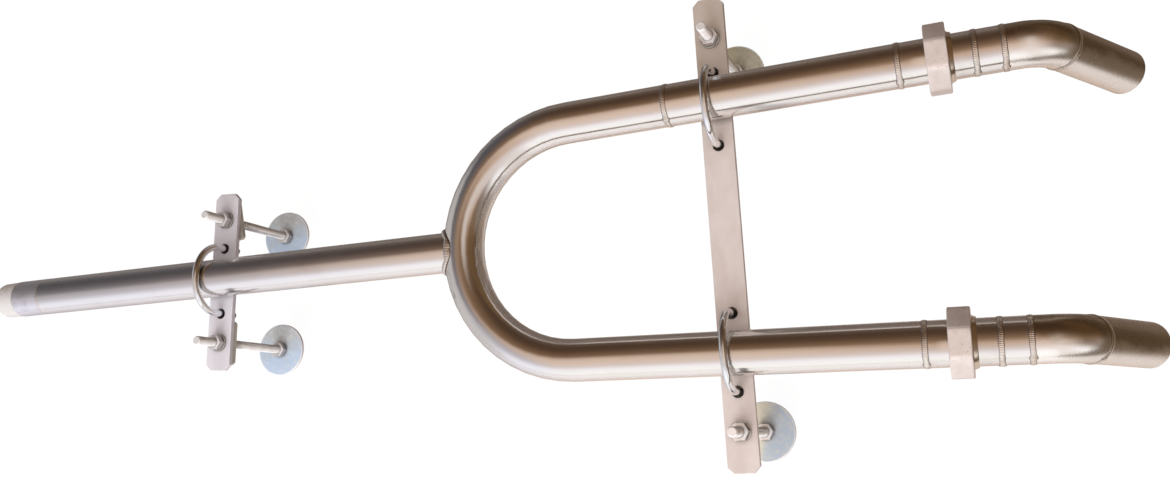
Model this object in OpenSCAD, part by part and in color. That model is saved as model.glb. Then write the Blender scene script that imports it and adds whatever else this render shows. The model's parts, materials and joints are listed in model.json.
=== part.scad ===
// Forked tube stabilizer on two clamp-on stand-off brackets.
// A threaded stem tube is saddle-welded to a U-bent tube; each arm ends in a
// union coupling and a down-turned tip. Each bracket is a flat bar held to the
// tubing by U-bolts and carried on two adjustable feet.

/* [Tube] */
// Outside diameter of every tube
tube_od = 33.7; // [33:0.1:34.5]
// Wall thickness of every tube
tube_wall = 2; // [1.6:0.1:2.6]

/* [Fork] */
// Centreline radius of the U-bend
bend_radius = 96.5; // [90:0.5:110]
// Angle by which each arm opens outwards
arm_splay = 1.4; // [0:0.1:1.6]
// Length of the short leg of the U, from the bend to the splice weld
short_leg = 88; // [75:1:95]
// Length of both arms, from the bend to the weld of the union
arm_len = 265.5; // [262:0.5:300]
// Length of the stem, from the U-bend's centreline to the weld of the inlet nipple
stem_len = 439; // [425:1:520]

/* [Inlet nipple] */
// Plain length of the nipple
nipple_neck = 31; // [20:1:40]
// Length of its male thread
inlet_thread_len = 19; // [15:1:25]
// Major diameter of its male thread
inlet_thread_d = 33.2; // [32:0.1:33.2]

/* [Welds] */
// Gap between two tube ends that the weld fills
root_gap = 1.5; // [1:0.1:2]
// Width of the weld cap
bead_w = 5; // [4:0.1:7]
// Height of the weld cap over the tube
bead_h = 0.8; // [0.5:0.1:1.4]
// Reach of the saddle weld's bead along each tube
saddle_bead_w = 2.8; // [2:0.1:3.5]
// Height of the saddle weld's crown
saddle_bead_h = 1; // [0.5:0.1:1.2]

/* [Unions] */
// Length of plain neck between the arm's weld and the union nut
union_neck = 15.8; // [14:0.2:20]
// Extra length of the left union's neck
left_neck_extra = 4; // [0:0.5:4]
// Length of the union nut's octagon
union_nut_len = 15.5; // [14:0.5:18]
// Size of the union nut across its flats
union_nut_af = 50; // [48:0.5:54]
// Length of the round hub on the nut's tip side
union_hub_len = 3.5; // [2:0.5:5]
// Diameter of the union thread
union_thread_d = 42; // [41:0.5:43]
// Angle that the left nut has stopped at
left_nut_turn = 29; // [0:1:44]
// Angle that the right nut has stopped at
right_nut_turn = 26; // [0:1:44]
// Thickness of the flat gasket
gasket_t = 1.5; // [1:0.1:2]

/* [Tips] */
// Length of the tailpiece's plain neck outside the nut
tail_neck = 15; // [10:0.5:18]
// Length of the sleeve between the tailpiece and the elbow
sleeve_len = 19.7; // [12:0.1:30]
// Length of the elbow's straight start
elbow_straight = 10; // [5:0.5:20]
// Centreline radius of the elbow
elbow_radius = 33.7; // [30:0.1:60]
// Angle by which the elbow turns down
elbow_angle = 55; // [40:1:60]
// Length of the left tip's open end stub
left_stub_len = 82.4; // [74.5:0.1:90]
// Length of the right tip's open end stub
right_stub_len = 74.5; // [50:0.1:82.4]
// Angle by which the left tip is swivelled in its union
left_tip_swivel = -6; // [-20:0.5:20]
// Angle by which the right tip is swivelled in its union
right_tip_swivel = -1.5; // [-20:0.5:20]

/* [Bars] */
// Width of both flat bars
bar_w = 25; // [22:1:28]
// Thickness of both flat bars
bar_t = 5; // [4:0.5:6]
// Corner chamfer of both flat bars
bar_chamfer = 5; // [3:0.5:7]
// Diameter of every hole in the bars
bar_hole_d = 9; // [8.6:0.1:9.5]
// Length of the stem bar
stem_bar_len = 163; // [155:1:180]
// Distance of the stem bar from the U-bend's centreline
stem_bar_x = 253; // [120:1:380]
// Angle by which the stem bar stands off square
stem_bar_skew = 3; // [0:0.5:4]
// Distance of the stem bracket's studs from the stem's axis
stem_stud_y = 56.5; // [56.5:0.5:60]
// Length of the cross bar
cross_bar_len = 377; // [360:1:400]
// Distance of the cross bar from the U-bend's centreline
cross_bar_x = 217.5; // [205:0.5:285]
// Angle by which the cross bar stands off square
cross_bar_skew = 0.7; // [0:0.1:1]
// Distance of the left arm's U-bolt from the centre line
left_u_bolt_y = 95.7; // [95:0.1:100]
// Distance of the right arm's U-bolt from the centre line
right_u_bolt_y = 97.6; // [95:0.1:100]
// Distance of the cross bracket's left stud from the centre line
cross_left_stud_y = 154.5; // [150:0.5:165]
// Distance of the cross bracket's right stud from the centre line
cross_right_stud_y = 157.5; // [150:0.5:165]

/* [U-bolts] */
// Diameter of the U-bolt rod
u_rod_d = 6; // [5.5:0.1:6.3]
// Distance between the axes of a U-bolt's legs
u_span = 60; // [58:0.5:61]
// Length of a U-bolt's straight legs
u_leg = 27; // [25:0.5:32]

/* [Backing plates] */
// Length of each plate behind the stem bar
plate_len = 39; // [30:1:39]
// Corner chamfer of the backing plates
plate_chamfer = 2; // [1:0.5:6]
// Angle by which the left backing plate has turned on its stud
left_plate_turn = 12; // [-12:1:12]
// Thickness of each plate
plate_t = 4; // [3:0.5:5]

/* [Feet] */
// Diameter of the threaded studs
stud_d = 8; // [7.9:0.05:8]
// Stud length standing out over the bar
stud_top = 31; // [24:0.5:40]
// Distance from the bar's upper face down to the foot washer
foot_drop = 94.5; // [75:0.5:120]
// Diameter of the foot washers
foot_d = 50; // [40:1:50]
// Thickness of the foot washers
foot_t = 3; // [2:0.5:4]
// Stud length standing out under the lowest nut
stud_end = 1.5; // [1:0.5:3]

/* [Hidden] */
$fn = 64;

left = 1;
right = -1;
gap = 0.3;              // clearance between parts that turn or slide on each other
fit = 0.05;             // radial clearance of a nut's thread on its rod
weld_gap = 0.08;        // keeps the swept saddle weld's flats out of the round tubes
tube_r = tube_od / 2;
tube_ir = tube_r - tube_wall;

// Union coupling, measured along the arm from the nut's mouth
lip_start = union_nut_len - 3;                    // the lip that holds the collar is 3 thick
collar_len = 3.2;
collar_start = lip_start - gap - collar_len;
collar_d = union_thread_d - 1;
seat = collar_start - gap - gasket_t;             // end face of the threaded end
tail_end = union_nut_len + union_hub_len + tail_neck;
elbow_start = tail_end + sleeve_len;

// Fasteners
stud_washer = [16, stud_d + 0.4, 1.6];            // outside, inside, thickness
stud_nut = [13, 6.5];                             // across flats, height
u_washer = [12, u_rod_d + 0.4, 1.6];
u_nut = [10, 5];

// Heights in the fork's frame, whose origin is where the stem meets the bend
bar_top = -tube_r - gap;
bar_under = bar_top - bar_t;
plate_under = bar_under - plate_t;
foot_top = bar_top - foot_drop;
foot_under = foot_top - foot_t;
stud_low = foot_under - stud_nut[1] - stud_end;
stud_len = bar_top + stud_top - stud_low;

// A crown's arc centre hangs low enough to clear the tube at the given offset from its middle
crown_r = u_span / 2;
function crown_z(offset) =
    -sqrt(pow(crown_r - u_rod_d / 2 - tube_r - gap, 2) - pow(offset, 2));
cross_crown_z = crown_z(6);
stem_crown_z = crown_z(0);

// The frame's origin: middle of the footprint, level with the stud ends
left_neck = union_neck + left_neck_extra;
elbow_reach = elbow_straight + elbow_radius * sin(elbow_angle);
elbow_drop = elbow_radius * (1 - cos(elbow_angle));
tip_reach = arm_len + left_neck + elbow_start + elbow_reach + left_stub_len * cos(elbow_angle);
tip_drop = elbow_drop + left_stub_len * sin(elbow_angle);
swivel_x = -sin(left_tip_swivel) * sin(arm_splay);    // x gained per unit of drop
arm_start_x = bend_radius * (1 - sin(arm_splay));
x_max = arm_start_x + tip_reach * cos(arm_splay) + tip_drop * swivel_x
    + tube_r * sqrt(1 - pow(cos(elbow_angle) * cos(arm_splay) + sin(elbow_angle) * swivel_x, 2));
x_min = -stem_len - nipple_neck - inlet_thread_len;
x_mid = (x_min + x_max) / 2;

// ---- placing ----

module to_frame() translate([-x_mid, 0, -stud_low]) children();

// +X runs out along an arm, from the end of the bend
module on_arm(side)
    to_frame()
    translate([arm_start_x, side * bend_radius * cos(arm_splay), 0])
    rotate([0, 0, side * arm_splay]) children();

// +X runs on from the mouth of an arm's union nut
module on_nut(side)
    on_arm(side)
    translate([arm_len + (side == left ? left_neck : union_neck), 0, 0]) children();

// As above, turned with the tip
module on_tip(side)
    on_nut(side) rotate([side == left ? left_tip_swivel : right_tip_swivel, 0, 0]) children();

module on_elbow(side) on_tip(side) translate([elbow_start, 0, 0]) children();

// +X runs on down the tip, from the end of the elbow's bend
module elbow_turned()
    translate([elbow_reach, 0, -elbow_drop]) rotate([0, elbow_angle, 0]) children();

module past_elbow(side) on_elbow(side) elbow_turned() children();

module on_stem_bar() to_frame() translate([-stem_bar_x, 0, 0]) rotate([0, 0, -stem_bar_skew]) children();

module on_cross_bar() to_frame() translate([cross_bar_x, 0, 0]) rotate([0, 0, cross_bar_skew]) children();

// ---- shapes that repeat ----

// Lays a shape made along +Z down along +X
module along_x() rotate([0, 90, 0]) children();

module pipe(from, to, od = tube_od, id = 2 * tube_ir)
    translate([from, 0, 0]) along_x() difference() {
        cylinder(d = od, h = to - from);
        translate([0, 0, -1]) cylinder(d = id, h = to - from + 2);
    }

// Fills the gap between two tube ends and caps it with a low round bead, whose
// underside is let out by ease where the first tube is bent
module weld_ring(at, ease = 0) {
    cap_r = (pow(bead_w / 2, 2) + pow(bead_h, 2)) / (2 * bead_h);
    translate([at, 0, 0]) along_x() rotate_extrude() {
        translate([tube_ir, -root_gap / 2]) square([tube_wall, root_gap]);
        intersection() {
            translate([tube_r + bead_h - cap_r, 0]) circle(cap_r);
            union() {
                translate([tube_r, -root_gap / 2]) square([bead_h, (bead_w + root_gap) / 2]);
                translate([tube_r + ease, -bead_w / 2]) square([bead_h - ease, bead_w / 2]);
            }
        }
    }
}

// Solid of revolution with both rims chamfered, standing on z = 0
module chamfered_rod(d, h, c)
    rotate_extrude()
    polygon([[0, 0], [d / 2 - c, 0], [d / 2, c], [d / 2, h - c], [d / 2 - c, h], [0, h]]);

// Hexagon nut standing on z = 0, its corners turned down at both faces
module hex_nut(af, h, bore) {
    corner_d = af / cos(30);
    difference() {
        intersection() {
            cylinder(d = corner_d, h = h, $fn = 6);
            chamfered_rod(corner_d, h, 0.6);
        }
        translate([0, 0, -1]) cylinder(d = bore, h = h + 2);
    }
}

module washer(size)
    difference() {
        cylinder(d = size[0], h = size[2]);
        translate([0, 0, -1]) cylinder(d = size[1], h = size[2] + 2);
    }

// Rectangle reaching x and y from its middle, with its corners cut off by c
module clipped_rectangle(x, y, c)
    polygon([[x - c, y], [c - x, y], [-x, y - c], [-x, c - y],
             [c - x, -y], [x - c, -y], [x, c - y], [x, y - c]]);

// Flat bar across the X axis with chamfered corners, its top at z = 0
module flat_bar(len, holes)
    translate([0, 0, -bar_t]) difference() {
        linear_extrude(bar_t) clipped_rectangle(bar_w / 2, len / 2, bar_chamfer);
        for (y = holes)
            translate([0, y, -1]) cylinder(d = bar_hole_d, h = bar_t + 2);
    }

// U-bolt standing across the X axis, given the height of its arc's centre
module u_bolt(crown) {
    translate([0, 0, crown]) rotate([90, 0, 90])
        rotate_extrude(angle = 180) translate([crown_r, 0]) circle(d = u_rod_d);
    for (side = [left, right])
        translate([0, side * crown_r, crown]) mirror([0, 0, 1])
            cylinder(d = u_rod_d, h = u_leg);
}

// Upper and lower nut of a stud, given the faces that they clamp
module stud_nuts(upper, lower) {
    translate([0, 0, upper]) hex_nut(stud_nut[0], stud_nut[1], stud_d + 2 * fit);
    translate([0, 0, lower - stud_nut[1]]) hex_nut(stud_nut[0], stud_nut[1], stud_d + 2 * fit);
}

// ---- stem and U-bend ----

module inlet_nipple() {
    from = -stem_len - root_gap / 2;
    shoulder = -stem_len - nipple_neck;
    end = shoulder - inlet_thread_len;
    relief = 1;
    color("gainsboro") to_frame() difference() {
        translate([end, 0, 0]) along_x() rotate_extrude() polygon([
            [tube_ir, 0], [inlet_thread_d / 2 - relief, 0], [inlet_thread_d / 2, relief],
            [inlet_thread_d / 2, inlet_thread_len - relief], [tube_r, inlet_thread_len],
            [tube_r, from - end], [tube_ir, from - end]]);
    }
}

module nipple_weld() color("tan") to_frame() weld_ring(-stem_len);

// The bend's solid core, of the given tube radius
module bend_core(r)
    translate([bend_radius, 0, 0]) rotate([0, 0, 90 + arm_splay])
        rotate_extrude(angle = 180 - 2 * arm_splay) translate([bend_radius, 0]) circle(r);

// The stem's end is coped until its inner edge lies on the bend. Over this angle to
// each side of the top and bottom its end is left square, a step above the bend.
cope_x = -sqrt(pow(tube_r, 2) - pow(tube_ir, 2));
saddle_step_angle = asin((pow(bend_radius - cope_x, 2) - pow(bend_radius, 2)) / (2 * bend_radius * tube_r));

module stem_tube()
    color("silver") to_frame() difference() {
        pipe(-stem_len + root_gap / 2, cope_x);
        bend_core(tube_r);
    }

// The saddle weld is swept round the stem. At an angle round the stem's axis, every
// point of its section has an x and a distance r from that axis.

// x of the bend's surface, let out by the weld's clearance
function bend_x(a, r) =
    bend_radius - sqrt(pow(bend_radius + sqrt(max(0, pow(tube_r + weld_gap, 2) - pow(r * cos(a), 2))), 2)
                       - pow(r * sin(a), 2));

// x of the stem's outer edge: on the bend, or on its square end at the top and bottom
function edge_x(a) = min(cope_x + weld_gap, bend_x(a, tube_r + weld_gap));

// Section of the bead: its two toes, a low crown between them and its root
function saddle_section(a) =
    let (side = pow(abs(sin(a)), 1.3),
         toe_r = sqrt(pow(tube_r, 2) - pow(cope_x + saddle_bead_w, 2)),
         bend_r = toe_r + side * (tube_r + saddle_bead_w - toe_r),
         root_r = min(tube_r, tube_ir + tube_wall * pow(sin(a) / sin(saddle_step_angle), 2)) + weld_gap,
         stem_toe = [edge_x(a) - saddle_bead_w, tube_r + weld_gap],
         bend_toe = [bend_x(a, bend_r), bend_r],
         chord = bend_toe - stem_toe,
         out = [-chord[1], chord[0]] / norm(chord))
    concat(
        [for (t = [0, 0.25, 0.5, 0.75, 1]) stem_toe + t * chord + 4 * t * (1 - t) * saddle_bead_h * out],
        [[bend_x(a, root_r), root_r], [edge_x(a), tube_r + weld_gap]]);

module saddle_weld() {
    stations = 48;
    sections = [for (i = [0:stations - 1]) saddle_section(360 * i / stations)];
    sides = len(sections[0]);
    points = [for (i = [0:stations - 1], p = sections[i])
        let (a = 360 * i / stations) [p[0], p[1] * sin(a), p[1] * cos(a)]];
    faces = [for (i = [0:stations - 1], j = [0:sides - 1])
        let (i2 = (i + 1) % stations, j2 = (j + 1) % sides)
        each [[i * sides + j, i * sides + j2, i2 * sides + j],
              [i2 * sides + j, i * sides + j2, i2 * sides + j2]]];
    color("tan") to_frame() polyhedron(points, faces);
}

// Bend and legs are one tube; the stem opens into it through its wall
module u_bend_tube()
    color("silver") difference() {
        union() {
            to_frame() difference() {
                bend_core(tube_r);
                bend_core(tube_ir);
            }
            on_arm(left) pipe(0, short_leg - root_gap / 2);
            on_arm(right) pipe(0, arm_len - root_gap / 2);
        }
        to_frame() translate([-tube_od, 0, 0]) along_x() cylinder(r = tube_ir, h = tube_od);
    }

module arm_splice_weld() color("tan") on_arm(left) weld_ring(short_leg);

module left_arm_tube()
    color("silver") on_arm(left) pipe(short_leg + root_gap / 2, arm_len - root_gap / 2);

// ---- unions ----

module union_weld(side) color("tan") on_arm(side) weld_ring(arm_len);

// Threaded end: plain neck, threaded head just inside the nut and a flat seat for the gasket
module union_end(side) {
    from = root_gap / 2 - (side == left ? left_neck : union_neck);
    c = 0.8;
    color("gainsboro") on_nut(side) along_x() rotate_extrude() polygon([
        [tube_ir, from], [tube_r, from], [tube_r, c],
        [union_thread_d / 2 - c, c], [union_thread_d / 2, 2 * c],
        [union_thread_d / 2, seat - c], [union_thread_d / 2 - c, seat],
        [tube_ir, seat]]);
}

module gasket(side)
    color("whitesmoke") on_nut(side)
    pipe(seat, seat + gasket_t, union_thread_d - 2, 2 * tube_ir + 0.6);

// Octagonal nut with a threaded mouth, an inner lip that holds the tailpiece's collar
// and a round hub over the tailpiece
module union_nut(side, turn) {
    corner_r = union_nut_af / 2 / cos(180 / 8);
    hub_r = tube_r + 1.2;
    hub_end = union_nut_len + union_hub_len;
    c = 0.6;
    color("lightgray") on_nut(side) along_x() rotate([0, 0, turn]) difference() {
        intersection() {
            cylinder(r = corner_r, h = hub_end, $fn = 8);
            rotate_extrude() polygon([
                [0, 0], [corner_r - c, 0], [corner_r, c], [corner_r, union_nut_len - c],
                [corner_r - c, union_nut_len], [hub_r + 1, union_nut_len], [hub_r, hub_end], [0, hub_end]]);
        }
        translate([0, 0, -1]) cylinder(r = tube_r + gap, h = hub_end + 2);
        translate([0, 0, -1]) cylinder(d = union_thread_d + 2 * fit, h = lip_start + 1);
    }
}

// Tailpiece: a collar that seals on the gasket, and a plain neck
module tailpiece(side) {
    collar_end = collar_start + collar_len;
    color("gainsboro") on_tip(side) along_x() rotate_extrude() polygon([
        [tube_ir, collar_start], [collar_d / 2, collar_start], [collar_d / 2, collar_end],
        [tube_r, collar_end], [tube_r, tail_end - root_gap / 2], [tube_ir, tail_end - root_gap / 2]]);
}

// ---- tips ----

module tailpiece_weld(side) color("tan") on_tip(side) weld_ring(tail_end);

module tip_sleeve(side)
    color("silver") on_tip(side) pipe(tail_end + root_gap / 2, elbow_start - root_gap / 2);

module elbow_inlet_weld(side) color("tan") on_elbow(side) weld_ring(0);

// The bend's end is cut flat, half the weld's gap short of its full turn
module elbow(side) {
    color("silver") on_elbow(side) {
        pipe(root_gap / 2, elbow_straight);
        difference() {
            translate([elbow_straight, 0, -elbow_radius]) rotate([0, -90, -90])
                rotate_extrude(angle = elbow_angle) translate([elbow_radius, 0]) difference() {
                    circle(tube_r);
                    circle(tube_ir);
                }
            elbow_turned() cube([root_gap, tube_od + 2, tube_od + 2], center = true);
        }
    }
}

// The bead's edge on the bend lies this much lower than on the straight tube
outlet_ease = pow(bead_w / 2, 2) / (2 * (elbow_radius - tube_r)) + 0.02;

module elbow_outlet_weld(side) color("tan") past_elbow(side) weld_ring(0, outlet_ease);

module end_stub(side)
    color("silver") past_elbow(side) pipe(root_gap / 2, side == left ? left_stub_len : right_stub_len);

// ---- stem bracket ----

stem_stud_holes = [stem_stud_y, -stem_stud_y];

module stem_bar()
    color("rosybrown") on_stem_bar() translate([0, 0, bar_top])
    flat_bar(stem_bar_len, concat(stem_stud_holes, [crown_r, -crown_r]));

module stem_u_bolt() color("lightsteelblue") on_stem_bar() u_bolt(stem_crown_z);

module stem_u_bolt_washers()
    color("lightsteelblue") on_stem_bar() for (y = [crown_r, -crown_r])
        translate([0, y, bar_under - u_washer[2]]) washer(u_washer);

module stem_u_bolt_nuts()
    color("lightsteelblue") on_stem_bar() for (y = [crown_r, -crown_r])
        translate([0, y, bar_under - u_washer[2] - u_nut[1]])
            hex_nut(u_nut[0], u_nut[1], u_rod_d + 2 * fit);

module stem_backing_plates()
    color("dimgray") on_stem_bar() for (side = [left, right])
        translate([0, side * stem_stud_y, plate_under]) rotate([0, 0, side == left ? left_plate_turn : 0])
            difference() {
                linear_extrude(plate_t) clipped_rectangle(bar_w / 2, plate_len / 2, plate_chamfer);
                translate([0, 0, -1]) cylinder(d = bar_hole_d, h = plate_t + 2);
            }

module stem_bar_washers()
    color("lightsteelblue") on_stem_bar()
    for (y = stem_stud_holes, z = [bar_top, plate_under - stud_washer[2]])
        translate([0, y, z]) washer(stud_washer);

module stem_bar_nuts()
    color("lightsteelblue") on_stem_bar() for (y = stem_stud_holes) translate([0, y, 0])
        stud_nuts(bar_top + stud_washer[2], plate_under - stud_washer[2]);

// ---- cross bracket ----

cross_stud_holes = [cross_left_stud_y, -cross_right_stud_y];
cross_u_bolts = [left_u_bolt_y, -right_u_bolt_y];
cross_u_holes = [for (y = cross_u_bolts, leg = [left, right]) y + leg * crown_r];

module cross_bar()
    color("rosybrown") on_cross_bar() translate([0, 0, bar_top])
    flat_bar(cross_bar_len, concat(cross_stud_holes, cross_u_holes));

module cross_u_bolt(side)
    color("lightsteelblue") on_cross_bar() translate([0, cross_u_bolts[side == left ? 0 : 1], 0])
    u_bolt(cross_crown_z);

module cross_u_bolt_washers()
    color("lightsteelblue") on_cross_bar() for (y = cross_u_holes)
        translate([0, y, bar_under - u_washer[2]]) washer(u_washer);

module cross_u_bolt_nuts()
    color("lightsteelblue") on_cross_bar() for (y = cross_u_holes)
        translate([0, y, bar_under - u_washer[2] - u_nut[1]])
            hex_nut(u_nut[0], u_nut[1], u_rod_d + 2 * fit);

module cross_bar_washers()
    color("lightsteelblue") on_cross_bar()
    for (y = cross_stud_holes, z = [bar_top, bar_under - stud_washer[2]])
        translate([0, y, z]) washer(stud_washer);

module cross_bar_nuts()
    color("lightsteelblue") on_cross_bar() for (y = cross_stud_holes) translate([0, y, 0])
        stud_nuts(bar_top + stud_washer[2], bar_under - stud_washer[2]);

// ---- feet: each is placed at its own stud ----

module stud() color("lightsteelblue") translate([0, 0, stud_low]) chamfered_rod(stud_d, stud_len, 0.8);

module foot_washer()
    color("lightsteelblue") translate([0, 0, foot_under]) washer([foot_d, stud_d + 0.4, foot_t]);

module foot_nuts() color("lightsteelblue") stud_nuts(foot_top, foot_under);

module stem_foot(side) on_stem_bar() translate([0, side * stem_stud_y, 0]) children();

module cross_foot(side)
    on_cross_bar() translate([0, cross_stud_holes[side == left ? 0 : 1], 0]) children();

inlet_nipple();
nipple_weld();
stem_tube();
saddle_weld();
u_bend_tube();
arm_splice_weld();
left_arm_tube();
union_weld(left);  // left_union_weld
union_weld(right);  // right_union_weld
union_end(left);  // left_union_end
union_end(right);  // right_union_end
gasket(left);  // left_gasket
gasket(right);  // right_gasket
union_nut(left, left_nut_turn);  // left_union_nut
union_nut(right, right_nut_turn);  // right_union_nut
tailpiece(left);  // left_tailpiece
tailpiece_weld(left);  // left_tailpiece_weld
tip_sleeve(left);  // left_tip_sleeve
elbow_inlet_weld(left);  // left_elbow_inlet_weld
elbow(left);  // left_elbow
elbow_outlet_weld(left);  // left_elbow_outlet_weld
end_stub(left);  // left_end_stub
tailpiece(right);  // right_tailpiece
tailpiece_weld(right);  // right_tailpiece_weld
tip_sleeve(right);  // right_tip_sleeve
elbow_inlet_weld(right);  // right_elbow_inlet_weld
elbow(right);  // right_elbow
elbow_outlet_weld(right);  // right_elbow_outlet_weld
end_stub(right);  // right_end_stub
stem_bar();
stem_u_bolt();
stem_u_bolt_washers();
stem_u_bolt_nuts();
stem_backing_plates();
stem_bar_washers();
stem_bar_nuts();
cross_bar();
cross_u_bolt(left);  // left_u_bolt
cross_u_bolt(right);  // right_u_bolt
cross_u_bolt_washers();
cross_u_bolt_nuts();
cross_bar_washers();
cross_bar_nuts();
stem_foot(left) stud();  // stem_left_stud
stem_foot(left) foot_washer();  // stem_left_foot_washer
stem_foot(left) foot_nuts();  // stem_left_foot_nuts
stem_foot(right) stud();  // stem_right_stud
stem_foot(right) foot_washer();  // stem_right_foot_washer
stem_foot(right) foot_nuts();  // stem_right_foot_nuts
cross_foot(left) stud();  // cross_left_stud
cross_foot(left) foot_washer();  // cross_left_foot_washer
cross_foot(left) foot_nuts();  // cross_left_foot_nuts
cross_foot(right) stud();  // cross_right_stud
cross_foot(right) foot_washer();  // cross_right_foot_washer
cross_foot(right) foot_nuts();  // cross_right_foot_nuts
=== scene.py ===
import json
import math
import random

import bmesh
import bpy
import numpy as np
from mathutils import Matrix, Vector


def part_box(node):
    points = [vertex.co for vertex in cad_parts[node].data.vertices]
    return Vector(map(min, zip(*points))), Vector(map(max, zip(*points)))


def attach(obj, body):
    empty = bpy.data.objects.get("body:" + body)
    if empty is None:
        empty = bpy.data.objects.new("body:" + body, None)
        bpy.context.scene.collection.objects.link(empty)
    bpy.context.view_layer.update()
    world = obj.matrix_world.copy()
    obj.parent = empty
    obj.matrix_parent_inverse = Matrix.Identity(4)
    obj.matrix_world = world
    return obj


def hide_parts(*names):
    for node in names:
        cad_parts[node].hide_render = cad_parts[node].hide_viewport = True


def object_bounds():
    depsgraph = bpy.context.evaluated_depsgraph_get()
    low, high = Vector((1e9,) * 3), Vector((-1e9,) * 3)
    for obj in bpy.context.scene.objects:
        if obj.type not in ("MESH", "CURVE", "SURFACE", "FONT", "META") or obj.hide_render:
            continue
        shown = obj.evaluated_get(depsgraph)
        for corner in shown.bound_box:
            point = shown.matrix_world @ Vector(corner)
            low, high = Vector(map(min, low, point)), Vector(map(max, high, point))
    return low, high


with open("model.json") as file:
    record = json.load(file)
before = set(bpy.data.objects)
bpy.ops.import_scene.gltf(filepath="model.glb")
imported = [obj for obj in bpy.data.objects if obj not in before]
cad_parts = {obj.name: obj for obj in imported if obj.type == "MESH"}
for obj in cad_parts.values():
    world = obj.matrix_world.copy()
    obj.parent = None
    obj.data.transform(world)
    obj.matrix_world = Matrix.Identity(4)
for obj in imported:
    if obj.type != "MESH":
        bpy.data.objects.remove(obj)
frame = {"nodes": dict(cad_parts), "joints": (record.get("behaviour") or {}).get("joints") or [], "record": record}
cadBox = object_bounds()
record = frame["record"]
mounts = {m["name"]: m for m in record["mounts"]}
joints = {j["name"]: j for j in frame["joints"]}
bodyOf = {node: body for body, nodes in record["behaviour"]["bodies"].items() for node in nodes}
slotOf = {part["node"]: part["material_slot"] for part in record["subparts"]}
scene = bpy.context.scene
dice = random.Random(7)
print("frame loaded:", len(frame["nodes"]), "nodes")


class Value:  # a node's output that takes part in sums
    def __init__(self, shader, socket):
        self.shader = shader
        self.socket = socket

    def maths(self, operation, first, second):
        return self.shader.add("ShaderNodeMath", {"operation": operation}, {0: first, 1: second})

    def __add__(self, other):
        return self.maths("ADD", self, other)

    def __radd__(self, other):
        return self.maths("ADD", other, self)

    def __sub__(self, other):
        return self.maths("SUBTRACT", self, other)

    def __rsub__(self, other):
        return self.maths("SUBTRACT", other, self)

    def __mul__(self, other):
        return self.maths("MULTIPLY", self, other)

    def __rmul__(self, other):
        return self.maths("MULTIPLY", other, self)

    def __truediv__(self, other):
        return self.maths("DIVIDE", self, other)

    def __rtruediv__(self, other):
        return self.maths("DIVIDE", other, self)


class Shader:  # one material's or world's node tree
    def __init__(self, owner):
        owner.use_nodes = True
        self.owner = owner
        self.tree = owner.node_tree
        self.tree.nodes.clear()

    def add(self, kind, settings=None, inputs=None, output=0):
        node = self.tree.nodes.new(kind)
        for name, setting in (settings or {}).items():
            if name == "stops":
                ramp = node.color_ramp.elements
                while len(ramp) < len(setting):
                    ramp.new(0.5)
                for element, (position, colour) in zip(ramp, setting):
                    element.position = position
                    element.color = (*colour, 1.0)
            else:
                setattr(node, name, setting)
        for name, value in (inputs or {}).items():
            if isinstance(name, int):
                socket = node.inputs[name]
            else:
                socket = [s for s in node.inputs if s.name == name and s.enabled][0]
            if isinstance(value, Value):
                self.tree.links.new(value.socket, socket)
            elif isinstance(value, tuple) and len(value) == 3 and socket.type == "RGBA":
                socket.default_value = (*value, 1.0)
            else:
                socket.default_value = value
        outputs = [s for s in node.outputs if s.enabled]
        return Value(self, outputs[output]) if outputs else None

    def place(self):  # object coordinates, in metres
        return self.add("ShaderNodeTexCoord", None, None, 3)

    def carried(self, name, output):  # what the mesh's points carry: 1 a vector, 2 a number
        return self.add("ShaderNodeAttribute", {"attribute_name": name}, None, output)

    def part(self, vector, axis):  # 0, 1 or 2 for x, y or z
        return self.add("ShaderNodeSeparateXYZ", None, {0: vector}, axis)

    def mix(self, factor, first, second, blend="MIX"):
        return self.add("ShaderNodeMix", {"data_type": "RGBA", "blend_type": blend},
                        {"Factor": factor, "A": first, "B": second})

    def stretch(self, vector, amounts):
        return self.add("ShaderNodeVectorMath", {"operation": "MULTIPLY"}, {0: vector, 1: amounts})

    def noise(self, vector, scale, detail=3.0, roughness=0.5):
        return self.add("ShaderNodeTexNoise", None,
                        {"Vector": vector, "Scale": scale, "Detail": detail, "Roughness": roughness})

    def ramp(self, value, low, high):  # 0 at low and 1 at high, whichever is the larger
        return self.add("ShaderNodeMapRange", {"interpolation_type": "SMOOTHSTEP"},
                        {"Value": value, "From Min": low, "From Max": high})

    # ambient occlusion, which the materials use to paint shade into gaps
    def crevice(self, distance):  # 1 where surfaces meet closely
        openness = self.add("ShaderNodeAmbientOcclusion", {"samples": 8}, {"Distance": distance}, 1)
        return self.ramp(openness, 0.85, 0.45)

    def bump(self, height, strength, distance=0.0002):
        return self.add("ShaderNodeBump", None,
                        {"Height": height, "Strength": strength, "Distance": distance})

    def finish(self, colour, metallic, roughness, normal):
        surface = self.add("ShaderNodeBsdfPrincipled", None, {"Base Color": colour, "Metallic": metallic,
                                                              "Roughness": roughness, "Normal": normal})
        self.add("ShaderNodeOutputMaterial", None, {"Surface": surface})
        return self.owner


def linear(red, green, blue):  # 0-255 display values to light values
    return tuple(round(((c / 255 + 0.055) / 1.055) ** 2.4, 4) for c in (red, green, blue))


def newShader(name):
    return Shader(bpy.data.materials.new(name))


tubeFinish = {
    "steel": (0.815, 0.80, 0.79),
    "stain": (0.66, 0.61, 0.56),
    "straw": (0.62, 0.47, 0.27),  # the two heat tints beside a weld
    "scorch": (0.20, 0.12, 0.08),
    "roughness": 0.15,
    "lineScale": 260.0,
}


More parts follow.
